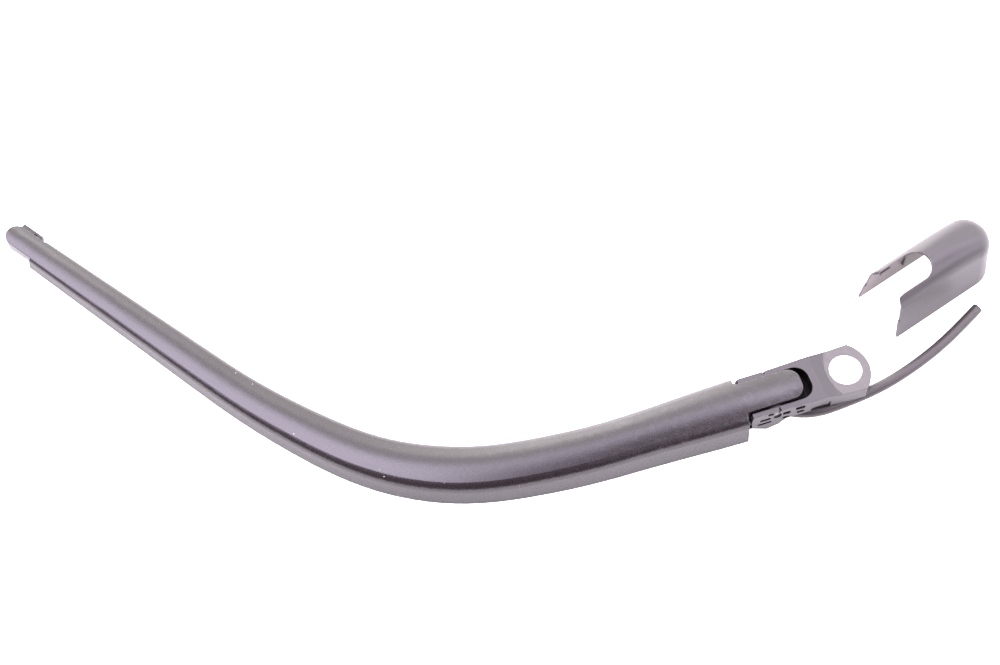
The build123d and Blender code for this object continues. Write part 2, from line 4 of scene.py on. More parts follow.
import bpy
from mathutils import Matrix, Vector

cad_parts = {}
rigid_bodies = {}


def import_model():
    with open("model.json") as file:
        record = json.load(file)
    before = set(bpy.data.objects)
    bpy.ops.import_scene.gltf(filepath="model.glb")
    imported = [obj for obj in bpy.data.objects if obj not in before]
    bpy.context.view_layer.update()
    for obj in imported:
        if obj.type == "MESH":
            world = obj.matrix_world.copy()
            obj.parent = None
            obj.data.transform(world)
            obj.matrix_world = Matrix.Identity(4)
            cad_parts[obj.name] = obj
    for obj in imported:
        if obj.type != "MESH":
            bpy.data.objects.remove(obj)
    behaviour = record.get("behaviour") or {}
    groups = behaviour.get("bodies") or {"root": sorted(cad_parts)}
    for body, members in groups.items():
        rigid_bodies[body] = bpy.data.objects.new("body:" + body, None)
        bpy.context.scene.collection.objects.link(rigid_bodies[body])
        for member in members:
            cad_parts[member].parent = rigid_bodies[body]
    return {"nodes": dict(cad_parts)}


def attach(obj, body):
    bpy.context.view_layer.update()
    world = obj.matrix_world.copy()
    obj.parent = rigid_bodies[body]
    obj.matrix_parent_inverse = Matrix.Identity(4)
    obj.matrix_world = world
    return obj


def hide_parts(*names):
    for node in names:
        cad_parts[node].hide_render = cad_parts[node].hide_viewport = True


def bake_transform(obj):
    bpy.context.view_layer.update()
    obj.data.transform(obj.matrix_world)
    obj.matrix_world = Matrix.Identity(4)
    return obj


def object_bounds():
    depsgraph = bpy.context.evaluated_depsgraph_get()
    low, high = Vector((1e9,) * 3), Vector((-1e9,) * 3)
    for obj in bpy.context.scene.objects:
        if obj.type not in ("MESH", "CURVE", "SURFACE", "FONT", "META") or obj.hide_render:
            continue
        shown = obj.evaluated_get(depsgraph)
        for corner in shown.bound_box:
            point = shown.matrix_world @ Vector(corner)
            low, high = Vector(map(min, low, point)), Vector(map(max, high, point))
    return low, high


for item in list(bpy.data.objects):
    bpy.data.objects.remove(item)
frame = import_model()
cad_low, cad_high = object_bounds()
nodes = frame["nodes"]


# Photographer's light table: a broad sheet of opal white acrylic that glows from below, so that it shows
# no edge and hardly a shadow. The arm lies on it on the edges of its channel, and the cap on its rim.
def linear(colour):
    """Linear RGBA of an sRGB hex colour."""
    parts = [int(colour[i:i + 2], 16) / 255 for i in (1, 3, 5)]
    return [c / 12.92 if c <= 0.04045 else ((c + 0.055) / 1.055) ** 2.4 for c in parts] + [1.0]


def new_material(name):
    """Empty material: its node tree and the output's surface socket."""
    material = bpy.data.materials.new(name)
    material.use_nodes = True
    material.node_tree.nodes.clear()
    output = material.node_tree.nodes.new("ShaderNodeOutputMaterial")
    return material, material.node_tree, output.inputs["Surface"]


def add_node(tree, kind, settings=(), links=()):
    """One node with its settings and the sockets that feed it."""
    node = tree.nodes.new(kind)
    for name, value in dict(settings).items():
        if isinstance(name, int) or name in node.inputs:
            node.inputs[name].default_value = value
        else:
            setattr(node, name, value)
    for name, source in dict(links).items():
        tree.links.new(source, node.inputs[name])
    return node


def new_object(name, mesh):
    """Object for a finished mesh, at the origin."""
    made = bpy.data.objects.new(name, mesh)
    bpy.context.scene.collection.objects.link(made)
    return made


table_half = 4.0
table_gap = 0.0001
table_z = cad_low.z - table_gap
table_corners = [(x * table_half, y * table_half, table_z) for x, y in ((-1, -1), (1, -1), (1, 1), (-1, 1))]
table_mesh = bpy.data.meshes.new("light_table")
table_mesh.from_pydata(table_corners, [], [(0, 1, 2, 3)])
light_table = new_object("light_table", table_mesh)

# opal acrylic: matt, pale and faintly cloudy, with an even glow; a box under the hinge is painted near black
# and its glow turned off, a painted shadow that keeps the glow from coming up through the hinge
glow_strength = 1.3
cloud_mm = 16.0
painted_shadow_middle, painted_shadow_reach, painted_shadow_fade = (-0.0405, 0.0, 0.0), (0.0220, 0.0092, 1.0), 0.03
opal, tree, surface = new_material("opal_white_acrylic")
place = add_node(tree, "ShaderNodeTexCoord").outputs["Object"]
cloud = add_node(tree, "ShaderNodeTexNoise", {"Scale": 1000 / cloud_mm, "Detail": 3.0}, {"Vector": place})
tone = add_node(tree, "ShaderNodeMix", {"data_type": "RGBA", 6: linear("#D2D0D0"), 7: linear("#D8D6D6")},
                {0: cloud.outputs["Fac"]})
from_painted_shadow = add_node(tree, "ShaderNodeVectorMath", {"operation": "SUBTRACT", 1: painted_shadow_middle}, {0: place})
share = add_node(tree, "ShaderNodeVectorMath", {"operation": "DIVIDE", 1: painted_shadow_reach}, {0: from_painted_shadow.outputs[0]})
either_side = add_node(tree, "ShaderNodeVectorMath", {"operation": "ABSOLUTE"}, {0: share.outputs[0]})
spread = add_node(tree, "ShaderNodeSeparateXYZ", {}, {0: either_side.outputs[0]})
most = add_node(tree, "ShaderNodeMath", {"operation": "MAXIMUM"},
                {0: spread.outputs["X"], 1: spread.outputs["Y"]})
lit = add_node(tree, "ShaderNodeMapRange", {"From Min": 1 - painted_shadow_fade, "From Max": 1 + painted_shadow_fade},
               {"Value": most.outputs[0]})
glow = add_node(tree, "ShaderNodeMath", {"operation": "MULTIPLY", 1: glow_strength}, {0: lit.outputs[0]})
# painted shadow: the near black tone inside the box under the hinge
tone_with_painted_shadow = add_node(tree, "ShaderNodeMix", {"data_type": "RGBA", 6: linear("#1A1718")},
                  {0: lit.outputs[0], 7: tone.outputs[2]})
sheet = add_node(tree, "ShaderNodeBsdfPrincipled",
                 {"Roughness": 0.9, "Specular IOR Level": 0.1, "Emission Color": linear("#FFFCFC")},
                 {"Base Color": tone_with_painted_shadow.outputs[2], "Emission Strength": glow.outputs[0]})
tree.links.new(sheet.outputs["BSDF"], surface)
table_mesh.materials.append(opal)


# Studio light: a pale backdrop low on the far side, lilac softboxes overhead that are near on the left and
# weaker to the right, and a dark room behind the camera. Each stop of a wall is an angle, in degrees from
# the far horizon over the top, and a colour. The left wall lights the outer arm up to the elbow, the middle
# one the arm from there to the hinge, and the right one the head, the hose and the cap.
view_right = Vector((0.9473, -0.3204, 0.0)).normalized()
view_away = Vector((0.3204, 0.9473, 0.0)).normalized()
left_wall = (
    (0.0, "#FFFCFC"), (39.0, "#FFFCFC"), (49.0, "#767372"), (59.0, "#787475"),
    (70.0, "#EDE3F9"), (100.0, "#EDE3F9"), (114.0, "#363034"), (180.0, "#2D2729"),
)
middle_wall = (
    (0.0, "#FAF7F7"), (16.0, "#FAF7F7"), (30.0, "#747170"), (46.0, "#989499"),
    (58.0, "#989499"), (71.0, "#231F21"), (130.0, "#1A1718"), (180.0, "#1E1A1C"),
)
right_wall = (
    (0.0, "#A9A6A6"), (34.0, "#989595"), (57.0, "#9A969A"), (67.0, "#F0E7FA"),
    (76.0, "#F0E7FA"), (87.0, "#343032"), (93.0, "#343032"), (106.0, "#D4CCDA"),
    (130.0, "#D4CCDA"), (142.0, "#5A5357"), (156.0, "#363234"), (180.0, "#2D2729"),
)
left_to_middle, middle_to_right = (-0.13, 0.12), (0.24, 0.32)
right_skew = 0.45
room_strength = 13.6
room = bpy.data.worlds.new("studio_room")
bpy.context.scene.world = room
room.use_nodes = True
tree = room.node_tree
way = add_node(tree, "ShaderNodeTexCoord").outputs["Generated"]
far = add_node(tree, "ShaderNodeVectorMath", {"operation": "DOT_PRODUCT", 1: view_away}, {0: way})
up = add_node(tree, "ShaderNodeSeparateXYZ", {}, {0: way})
turn = add_node(tree, "ShaderNodeMath", {"operation": "ARCTAN2"}, {0: up.outputs["Z"], 1: far.outputs["Value"]})
over_the_top = add_node(tree, "ShaderNodeMapRange", {"From Max": math.pi}, {"Value": turn.outputs[0]})
walls = []
for wall_stops in (left_wall, middle_wall, right_wall):
    wall = add_node(tree, "ShaderNodeValToRGB", {}, {"Fac": over_the_top.outputs[0]})
    stops = wall.color_ramp.elements
    for k, (angle, colour) in enumerate(wall_stops):
        stop = stops[k] if k < 2 else stops.new(angle / 180)
        stop.position = angle / 180
        stop.color = linear(colour)
    walls.append(wall.outputs["Color"])
seen = walls[0]
side_ways = (view_right, view_right + right_skew * view_away)
for wall, (start, end), side_way in zip(walls[1:], (left_to_middle, middle_to_right), side_ways):
    sideways = add_node(tree, "ShaderNodeVectorMath", {"operation": "DOT_PRODUCT", 1: side_way}, {0: way})
    side = add_node(tree, "ShaderNodeMapRange", {"From Min": start, "From Max": end},
                    {"Value": sideways.outputs["Value"]})
    seen = add_node(tree, "ShaderNodeMix", {"data_type": "RGBA"},
                    {0: side.outputs[0], 6: seen, 7: wall}).outputs[2]
room_light = tree.nodes["Background"]
tree.links.new(seen, room_light.inputs["Color"])
room_light.inputs["Strength"].default_value = room_strength


# Camera: a 75 mm lens about a metre away, 60 degrees above the table, turned so that the straight part of
# the arm rises to the right as in the photograph.
look_at = Vector((-0.1503, 0.0812, -0.0135))
camera_height = math.radians(60.0)
camera_distance = 1.0415
camera_data = bpy.data.cameras.new("camera")
camera_data.lens = 75.0
camera_data.sensor_width = 36.0
camera_data.sensor_fit = "HORIZONTAL"
camera_data.clip_start, camera_data.clip_end = 0.05, 20.0
camera = new_object("camera", camera_data)
view_back = Vector((0, 0, math.sin(camera_height))) - view_away * math.cos(camera_height)
view_up = view_back.cross(view_right)
camera.matrix_world = Matrix.Translation(look_at + view_back * camera_distance) @ Matrix((
    (view_right.x, view_up.x, view_back.x, 0),
    (view_right.y, view_up.y, view_back.y, 0),
    (view_right.z, view_up.z, view_back.z, 0),
    (0, 0, 0, 1),
))
bpy.context.scene.camera = camera
bpy.context.scene.view_settings.view_transform = "Standard"


# Mounting head: zinc die casting with a thin satin black coat. It clamps on the spindle with a nut,
# and its two cheeks carry the hinge pin. Cast skin shows as a fine, soft unevenness under the coat.
def worn_edge(tree, radius):
    """Normal rounded over at the edges, and how much of an edge each place is, from 0 to 1."""
    soft = add_node(tree, "ShaderNodeBevel", {"samples": 6, "Radius": radius}).outputs[0]
    facing = add_node(tree, "ShaderNodeNewGeometry").outputs["Normal"]
    turn = add_node(tree, "ShaderNodeVectorMath", {"operation": "DOT_PRODUCT"}, {0: soft, 1: facing})
    edge = add_node(tree, "ShaderNodeMapRange", {"From Min": 0.99, "From Max": 0.80},
                    {"Value": turn.outputs["Value"]})
    return soft, edge.outputs[0]


def satin_coat(name, deep, pale, edge_tone, roughness, grit_mm, peel_mm, cloud_mm=25.0):
    """Satin black coat: soft clouds, fine grit, orange peel and paler edges."""
    material, tree, surface = new_material(name)
    place = add_node(tree, "ShaderNodeTexCoord").outputs["Object"]
    clouds = add_node(tree, "ShaderNodeTexNoise", {"Scale": 1000 / cloud_mm, "Detail": 4.0}, {"Vector": place})
    grit = add_node(tree, "ShaderNodeTexNoise", {"Scale": 1000 / grit_mm, "Detail": 2.0}, {"Vector": place})
    peel = add_node(tree, "ShaderNodeTexNoise", {"Scale": 1000 / peel_mm, "Detail": 1.0}, {"Vector": place})
    soft, edge = worn_edge(tree, 0.0005)
    tone = add_node(tree, "ShaderNodeMix", {"data_type": "RGBA", 6: linear(deep), 7: linear(pale)},
                    {0: clouds.outputs["Fac"]})
    worn = add_node(tree, "ShaderNodeMix", {"data_type": "RGBA", 7: linear(edge_tone)},
                    {0: edge, 6: tone.outputs[2]})
    gloss = add_node(tree, "ShaderNodeMapRange",
                     {"From Min": 0.3, "From Max": 0.7, "To Min": roughness - 0.05, "To Max": roughness + 0.06},
                     {"Value": grit.outputs["Fac"]})
    skin = add_node(tree, "ShaderNodeBump", {"Strength": 0.25, "Distance": 0.00006},
                    {"Height": peel.outputs["Fac"], "Normal": soft})
    grain = add_node(tree, "ShaderNodeBump", {"Strength": 0.25, "Distance": 0.00003},
                     {"Height": grit.outputs["Fac"], "Normal": skin.outputs[0]})
    coat = add_node(tree, "ShaderNodeBsdfPrincipled", {"IOR": 1.5},
                    {"Base Color": worn.outputs[2], "Roughness": gloss.outputs[0], "Normal": grain.outputs[0]})
    tree.links.new(coat.outputs["BSDF"], surface)
    return material, tree, place, coat


def lay_over(tree, coat, colour, amount):
    """Lay another tone over a coat, by an amount from 0 to 1 at each place."""
    under = coat.inputs["Base Color"].links[0].from_socket
    over = add_node(tree, "ShaderNodeMix", {"data_type": "RGBA", 7: linear(colour)}, {0: amount, 6: under})
    tree.links.new(over.outputs[2], coat.inputs["Base Color"])


def dress(material, *names):
    """Give CAD nodes their finish."""
    for name in names:
        mesh = nodes[name].data
        mesh.materials.clear()
        mesh.materials.append(material)


casting, tree, place, coat = satin_coat("satin_coated_zinc_casting", "#1D191B", "#242022", "#585154",
                                        roughness=0.34, grit_mm=0.5, peel_mm=2.2)
spot = add_node(tree, "ShaderNodeSeparateXYZ", {}, {0: place})

# the nut has rubbed the coat thin on its seat, the flat ring at height 0
seat_skin, rub_mm = 0.00005, 3.0
height = add_node(tree, "ShaderNodeMath", {"operation": "ABSOLUTE"}, {0: spot.outputs["Z"]})
seat = add_node(tree, "ShaderNodeMath", {"operation": "LESS_THAN", 1: seat_skin}, {0: height.outputs[0]})
rubbed = add_node(tree, "ShaderNodeTexNoise", {"Scale": 1000 / rub_mm, "Detail": 4.0}, {"Vector": place})
thin = add_node(tree, "ShaderNodeMapRange", {"From Min": 0.3, "From Max": 0.7, "To Min": 0.75},
                {"Value": rubbed.outputs["Fac"]})
bare = add_node(tree, "ShaderNodeMath", {"operation": "MULTIPLY"}, {0: seat.outputs[0], 1: thin.outputs[0]})
lay_over(tree, coat, "#403D3C", bare.outputs[0])

# painted shade: the slot, which ends in round corners, and the insides of the cheeks are painted near black
# and their reflection turned down, for the shade deep in the slot
slot_end, slot_half, slot_top, slot_corner = -0.0189, 0.0089, 0.0024, 0.0070
shine, painted_shade_shine = 0.5, 0.06
off_middle = add_node(tree, "ShaderNodeMath", {"operation": "ABSOLUTE"}, {0: spot.outputs["Y"]})
past = {}
for axis, value, start in (("X", spot.outputs["X"], slot_end - slot_corner),
                           ("Y", off_middle.outputs[0], slot_half - slot_corner)):
    beyond = add_node(tree, "ShaderNodeMath", {"operation": "SUBTRACT", 1: start}, {0: value})
    past[axis] = add_node(tree, "ShaderNodeMath", {"operation": "MAXIMUM", 1: 0.0},
                          {0: beyond.outputs[0]}).outputs[0]
corner = add_node(tree, "ShaderNodeCombineXYZ", {}, past)
out = add_node(tree, "ShaderNodeVectorMath", {"operation": "LENGTH"}, {0: corner.outputs[0]})
in_plan = add_node(tree, "ShaderNodeMath", {"operation": "LESS_THAN", 1: slot_corner}, {0: out.outputs["Value"]})
below = add_node(tree, "ShaderNodeMath", {"operation": "LESS_THAN", 1: slot_top}, {0: spot.outputs["Z"]})
painted_slot_shade = add_node(tree, "ShaderNodeMath", {"operation": "MULTIPLY"},
                  {0: in_plan.outputs[0], 1: below.outputs[0]})
# painted shade: near black laid over the slot and the insides of the cheeks
lay_over(tree, coat, "#0A0808", painted_slot_shade.outputs[0])
shade_dulling = add_node(tree, "ShaderNodeMapRange", {"To Min": shine, "To Max": painted_shade_shine},
                {"Value": painted_slot_shade.outputs[0]})
tree.links.new(shade_dulling.outputs[0], coat.inputs["Specular IOR Level"])

# the spindle's bore is machined and left bare
bore_reach = 0.00806
round_axis = add_node(tree, "ShaderNodeVectorMath", {"operation": "MULTIPLY", 1: (1.0, 1.0, 0.0)}, {0: place})
from_axis = add_node(tree, "ShaderNodeVectorMath", {"operation": "LENGTH"}, {0: round_axis.outputs[0]})
bore = add_node(tree, "ShaderNodeMath", {"operation": "LESS_THAN", 1: bore_reach}, {0: from_axis.outputs["Value"]})
lay_over(tree, coat, "#E6E4E2", bore.outputs[0])
tree.links.new(bore.outputs[0], coat.inputs["Metallic"])
dress(casting, "mounting_head")


# Hinge pin, spring pin, spring hook and spring anchor: zinc-plated steel. The pins are turned and pressed
# into the cheeks, and the hook and the anchor are bent from strip. The plating is dull, with fine lines.
line_mm, line_stretch, bloom_mm = 1.1, 9.0, 6.25
plated_steel, tree, surface = new_material("zinc_plated_steel")
place = add_node(tree, "ShaderNodeTexCoord").outputs["Object"]
stretch = add_node(tree, "ShaderNodeMapping", {"Scale": (1.0, line_stretch, 1.0)}, {"Vector": place})
turning = add_node(tree, "ShaderNodeTexNoise", {"Scale": 1000 / line_mm, "Detail": 3.0},
                   {"Vector": stretch.outputs[0]})
bloom = add_node(tree, "ShaderNodeTexNoise", {"Scale": 1000 / bloom_mm, "Detail": 4.0}, {"Vector": place})
tone = add_node(tree, "ShaderNodeMix", {"data_type": "RGBA", 6: linear("#8D8C8C"), 7: linear("#B4B4B2")},
                {0: bloom.outputs["Fac"]})
gloss = add_node(tree, "ShaderNodeMapRange", {"To Min": 0.28, "To Max": 0.5}, {"Value": turning.outputs["Fac"]})
lines = add_node(tree, "ShaderNodeBump", {"Strength": 0.2, "Distance": 0.00004},
                 {"Height": turning.outputs["Fac"]})
shader = add_node(tree, "ShaderNodeBsdfPrincipled", {"Metallic": 1.0},
                  {"Base Color": tone.outputs[2], "Roughness": gloss.outputs[0], "Normal": lines.outputs[0]})
tree.links.new(shader.outputs["BSDF"], surface)
dress(plated_steel, "hinge_pin", "spring_pin", "spring_hook", "spring_anchor")


# Bushes and washers of the hinge: natural moulded plastic, pressed into the arm's lugs, so that steel
# turns on plastic. Waxy, and dark all over with old grease, with pale plastic only in spots.
film_mm = 2.5
bush_plastic, tree, surface = new_material("greased_bearing_plastic")
place = add_node(tree, "ShaderNodeTexCoord").outputs["Object"]
film = add_node(tree, "ShaderNodeTexNoise", {"Scale": 1000 / film_mm, "Detail": 4.0}, {"Vector": place})
wiped = add_node(tree, "ShaderNodeMapRange", {"From Min": 0.62, "From Max": 0.80}, {"Value": film.outputs["Fac"]})
tone = add_node(tree, "ShaderNodeMix", {"data_type": "RGBA", 6: linear("#17130F"), 7: linear("#8F897C")},
                {0: wiped.outputs[0]})
gloss = add_node(tree, "ShaderNodeMapRange", {"To Min": 0.30, "To Max": 0.55}, {"Value": film.outputs["Fac"]})
shader = add_node(tree, "ShaderNodeBsdfPrincipled", {"IOR": 1.48},
                  {"Base Color": tone.outputs[2], "Roughness": gloss.outputs[0]})
tree.links.new(shader.outputs["BSDF"], surface)
dress(bush_plastic, "hinge_bush_near", "hinge_bush_far", "hinge_washer_near", "hinge_washer_far")


# Wiper arm: sheet steel pressed to a round-topped channel that narrows to the blade end, with its web
# drawn out to a tongue at the hinge. Satin black powder coat with faint orange peel, scuffed by hands
# near the hinge and dusty at the elbow.
coated_steel, tree, place, coat = satin_coat("satin_black_coat_on_pressed_steel", "#151113", "#1B1618", "#4A4347",
                                             roughness=0.27, grit_mm=0.4, peel_mm=1.6)
spot = add_node(tree, "ShaderNodeSeparateXYZ", {}, {0: place})

scuff_mm, scuff_most = 3.2, 0.22
scuff_start, scuff_end = -0.190, -0.090
scuffs = add_node(tree, "ShaderNodeTexNoise", {"Scale": 1000 / scuff_mm, "Detail": 6.0, "Roughness": 0.65},
                  {"Vector": place})
blots = add_node(tree, "ShaderNodeMapRange", {"From Min": 0.52, "From Max": 0.74, "To Max": scuff_most},
                 {"Value": scuffs.outputs["Fac"]})
handled = add_node(tree, "ShaderNodeMapRange", {"From Min": scuff_start, "From Max": scuff_end},
                   {"Value": spot.outputs["X"]})
scuffed = add_node(tree, "ShaderNodeMath", {"operation": "MULTIPLY"},
                   {0: blots.outputs[0], 1: handled.outputs[0]})
lay_over(tree, coat, "#4C434E", scuffed.outputs[0])

speck_cell_mm, speck_mm, speck_most = 5.0, 0.26, 0.9
elbow_x, dust_start, dust_end, dust_elsewhere = -0.225, 0.075, 0.040, 0.12
dust = add_node(tree, "ShaderNodeTexVoronoi", {"Scale": 1000 / speck_cell_mm}, {"Vector": place})
fleck = add_node(tree, "ShaderNodeMapRange",
                 {"From Min": speck_mm / speck_cell_mm, "From Max": 0.5 * speck_mm / speck_cell_mm,
                  "To Max": speck_most},
                 {"Value": dust.outputs["Distance"]})
from_elbow = add_node(tree, "ShaderNodeMath", {"operation": "SUBTRACT", 1: elbow_x}, {0: spot.outputs["X"]})
off_elbow = add_node(tree, "ShaderNodeMath", {"operation": "ABSOLUTE"}, {0: from_elbow.outputs[0]})
dusty = add_node(tree, "ShaderNodeMapRange",
                 {"From Min": dust_start, "From Max": dust_end, "To Min": dust_elsewhere},
                 {"Value": off_elbow.outputs[0]})
specks = add_node(tree, "ShaderNodeMath", {"operation": "MULTIPLY"}, {0: fleck.outputs[0], 1: dusty.outputs[0]})
lay_over(tree, coat, "#CFC8CD", specks.outputs[0])
dress(coated_steel, "wiper_arm")


# Tension spring: hard-drawn wire wound round, with a loop at each end. It pulls the arm to the glass from
# under its web. One loop hangs in the hook, and the other is on a straight leg that draws out of the coil.
pull_start, pull_end = Vector((-0.0400, 0.0, -0.0098)), Vector((-0.1260, 0.0, -0.0045))
wire_radius, wire_sides = 0.0009, 10
coil_radius, coil_pitch, coil_steps = 0.0038, 0.0026, 24
loop_radius, loop_steps = 0.0030, 30
near_loop_at, far_loop_at = 0.0276, 0.0829
leg_from, leg_bend, leg_bend_steps = 0.066, 0.0012, 6
coil_from, coil_to = near_loop_at + loop_radius, far_loop_at - loop_radius
pull_way = (pull_end - pull_start).normalized()
pull_side = Vector((0, 1, 0))
pull_up = pull_way.cross(pull_side)


def on_spring(side, up, along):
    """Place of a point of the wire, from the line of pull."""
    return pull_start + side * pull_side + up * pull_up + along * pull_way


# oiled wire: dark drawn steel under a thin film, streaky in its gloss
oil_mm = 4.0
spring_wire, tree, surface = new_material("oiled_spring_wire")
place = add_node(tree, "ShaderNodeTexCoord").outputs["Object"]
film = add_node(tree, "ShaderNodeTexNoise", {"Scale": 1000 / oil_mm, "Detail": 4.0}, {"Vector": place})
tone = add_node(tree, "ShaderNodeMix", {"data_type": "RGBA", 6: linear("#45413E"), 7: linear("#6A6560")},
                {0: film.outputs["Fac"]})
gloss = add_node(tree, "ShaderNodeMapRange", {"To Min": 0.22, "To Max": 0.45}, {"Value": film.outputs["Fac"]})
shader = add_node(tree, "ShaderNodeBsdfPrincipled", {"Metallic": 1.0},
                  {"Base Color": tone.outputs[2], "Roughness": gloss.outputs[0]})
tree.links.new(shader.outputs["BSDF"], surface)

winding = bpy.data.node_groups.new("wire_along_line", "GeometryNodeTree")
winding.interface.new_socket("Line", in_out="INPUT", socket_type="NodeSocketGeometry")
radius_socket = winding.interface.new_socket("Wire radius", in_out="INPUT", socket_type="NodeSocketFloat")
sides_socket = winding.interface.new_socket("Wire sides", in_out="INPUT", socket_type="NodeSocketInt")
finish_socket = winding.interface.new_socket("Finish", in_out="INPUT", socket_type="NodeSocketMaterial")
winding.interface.new_socket("Wire", in_out="OUTPUT", socket_type="NodeSocketGeometry")
given = add_node(winding, "NodeGroupInput")
line = add_node(winding, "GeometryNodeMeshToCurve", {}, {"Mesh": given.outputs["Line"]})
section = add_node(winding, "GeometryNodeCurvePrimitiveCircle", {},
                   {"Resolution": given.outputs["Wire sides"], "Radius": given.outputs["Wire radius"]})
drawn = add_node(winding, "GeometryNodeCurveToMesh", {"Fill Caps": True},
                 {"Curve": line.outputs["Curve"], "Profile Curve": section.outputs["Curve"]})
plain = add_node(winding, "GeometryNodeRealizeInstances", {}, {"Geometry": drawn.outputs["Mesh"]})
finished = add_node(winding, "GeometryNodeSetMaterial", {},
                    {"Geometry": plain.outputs["Geometry"], "Material": given.outputs["Finish"]})
add_node(winding, "NodeGroupOutput", {}, {"Wire": finished.outputs["Geometry"]})


def wound_wire(name, points):
    """Wire bent along a line of points."""
    line_mesh = bpy.data.meshes.new(name + "_line")
    line_mesh.from_pydata(points, [(k, k + 1) for k in range(len(points) - 1)], [])
    wire = new_object(name, line_mesh)
    modifier = wire.modifiers.new("wire_along_line", "NODES")
    modifier.node_group = winding
    modifier[radius_socket.identifier] = wire_radius
    modifier[sides_socket.identifier] = wire_sides
    modifier[finish_socket.identifier] = spring_wire
    bpy.context.view_layer.update()
    wire_mesh = bpy.data.meshes.new_from_object(wire.evaluated_get(bpy.context.evaluated_depsgraph_get()))
    wire.modifiers.clear()
    wire.data = wire_mesh
    for face in wire_mesh.polygons:
        face.use_smooth = True
    wire_mesh.set_sharp_from_angle(angle=math.radians(50))
    return wire


# near loop and coil, which hang on the hook and turn with it
coil_line = []
for k in range(2, loop_steps):
    turn = 2 * math.pi * k / loop_steps
    coil_line.append(on_spring(loop_radius * math.sin(turn), 0, near_loop_at + loop_radius * math.cos(turn)))
coil_count = round((coil_to - coil_from) / coil_pitch * coil_steps)
for k in range(coil_count + 1):
    turn = 2 * math.pi * k / coil_steps
    rise = min(1.0, 2 * k / coil_steps, 2 * (coil_count - k) / coil_steps + 0.4)
    reach = coil_radius * math.sin(rise * math.pi / 2)
    coil_line.append(on_spring(reach * math.cos(turn), reach * math.sin(turn),
                               coil_from + k * coil_pitch / coil_steps))
spring_coil = wound_wire("spring_coil", coil_line)

# straight leg out of the coil and far loop, which stay with the anchor under the arm
leg_line = [on_spring(0, 0, leg_from), on_spring(0, 0, coil_to - 2 * leg_bend)]
for k in range(leg_bend_steps + 1):
    turn = math.pi / 2 * k / leg_bend_steps
    leg_line.append(on_spring(leg_bend * (math.cos(turn) - 1), 0, coil_to - leg_bend * (1 - math.sin(turn))))
bend_turn = math.pi + math.asin(leg_bend / loop_radius)
for k in range(1, loop_steps - 2):
    turn = bend_turn + 2 * math.pi * k / loop_steps
    leg_line.append(on_spring(loop_radius * math.sin(turn), 0, far_loop_at + loop_radius * math.cos(turn)))
spring_leg = wound_wire("spring_leg", leg_line)

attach(spring_coil, "hook")
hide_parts("tension_spring")
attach(spring_leg, "arm")


# Nut cap, spray nozzle and hose clip: black plastic mouldings with a fine eroded grain. The cap snaps
# over the head and hides the nut; here it lies beside the arm. Nozzle and clip sit under the arm's web.
def grained_plastic(name, deep, pale, grain_mm=0.35, flow_mm=18.0):
    """Black moulded plastic: eroded grain, flow clouds and paler edges."""
    material, tree, surface = new_material(name)
    place = add_node(tree, "ShaderNodeTexCoord").outputs["Object"]
    grain = add_node(tree, "ShaderNodeTexNoise", {"Scale": 1000 / grain_mm, "Detail": 2.0}, {"Vector": place})
    flow = add_node(tree, "ShaderNodeTexNoise", {"Scale": 1000 / flow_mm, "Detail": 3.0}, {"Vector": place})
    soft, edge = worn_edge(tree, 0.0006)
    tone = add_node(tree, "ShaderNodeMix", {"data_type": "RGBA", 6: linear(deep), 7: linear(pale)},
                    {0: flow.outputs["Fac"]})
    worn = add_node(tree, "ShaderNodeMix", {"data_type": "RGBA", 7: linear("#5A5256")},
                    {0: edge, 6: tone.outputs[2]})
    gloss = add_node(tree, "ShaderNodeMapRange",
                     {"From Min": 0.3, "From Max": 0.7, "To Min": 0.38, "To Max": 0.48},
                     {"Value": grain.outputs["Fac"]})
    skin = add_node(tree, "ShaderNodeBump", {"Strength": 0.3, "Distance": 0.00003},
                    {"Height": grain.outputs["Fac"], "Normal": soft})
    shader = add_node(tree, "ShaderNodeBsdfPrincipled", {"IOR": 1.5},
                      {"Base Color": worn.outputs[2], "Roughness": gloss.outputs[0], "Normal": skin.outputs[0]})
    tree.links.new(shader.outputs["BSDF"], surface)
    return material, tree, place, shader


moulded, *_ = grained_plastic("fine_grained_black_plastic", "#201C1E", "#282426")
dress(moulded, "spray_nozzle", "hose_clip")

# painted light: inside, where its walls face its middle, the cap is painted paler, for the light that the table
# throws up into it
cap_place, cap_turn = (0.0321, 0.0293, -0.0135), math.radians(17.0)
cap_side = Vector((-math.sin(cap_turn), math.cos(cap_turn), 0.0))
facing_in = -0.003
cap_plastic, tree, place, shader = grained_plastic("fine_grained_black_cap_plastic", "#201C1E", "#282426")
in_cap = add_node(tree, "ShaderNodeMapping",
                  {"vector_type": "TEXTURE", "Location": cap_place, "Rotation": (0.0, 0.0, cap_turn)},
                  {"Vector": place})
spot = add_node(tree, "ShaderNodeSeparateXYZ", {}, {0: in_cap.outputs[0]})
facing = add_node(tree, "ShaderNodeNewGeometry").outputs["Normal"]
lean = add_node(tree, "ShaderNodeVectorMath", {"operation": "DOT_PRODUCT", 1: cap_side}, {0: facing})
inward = add_node(tree, "ShaderNodeMath", {"operation": "MULTIPLY"},
                  {0: spot.outputs["Y"], 1: lean.outputs["Value"]})
painted_light_inside = add_node(tree, "ShaderNodeMath", {"operation": "LESS_THAN", 1: facing_in}, {0: inward.outputs[0]})
# painted light: a paler tone on the inner walls of the cap
lay_over(tree, shader, "#6A5F62", painted_light_inside.outputs[0])
dress(cap_plastic, "nut_cap")


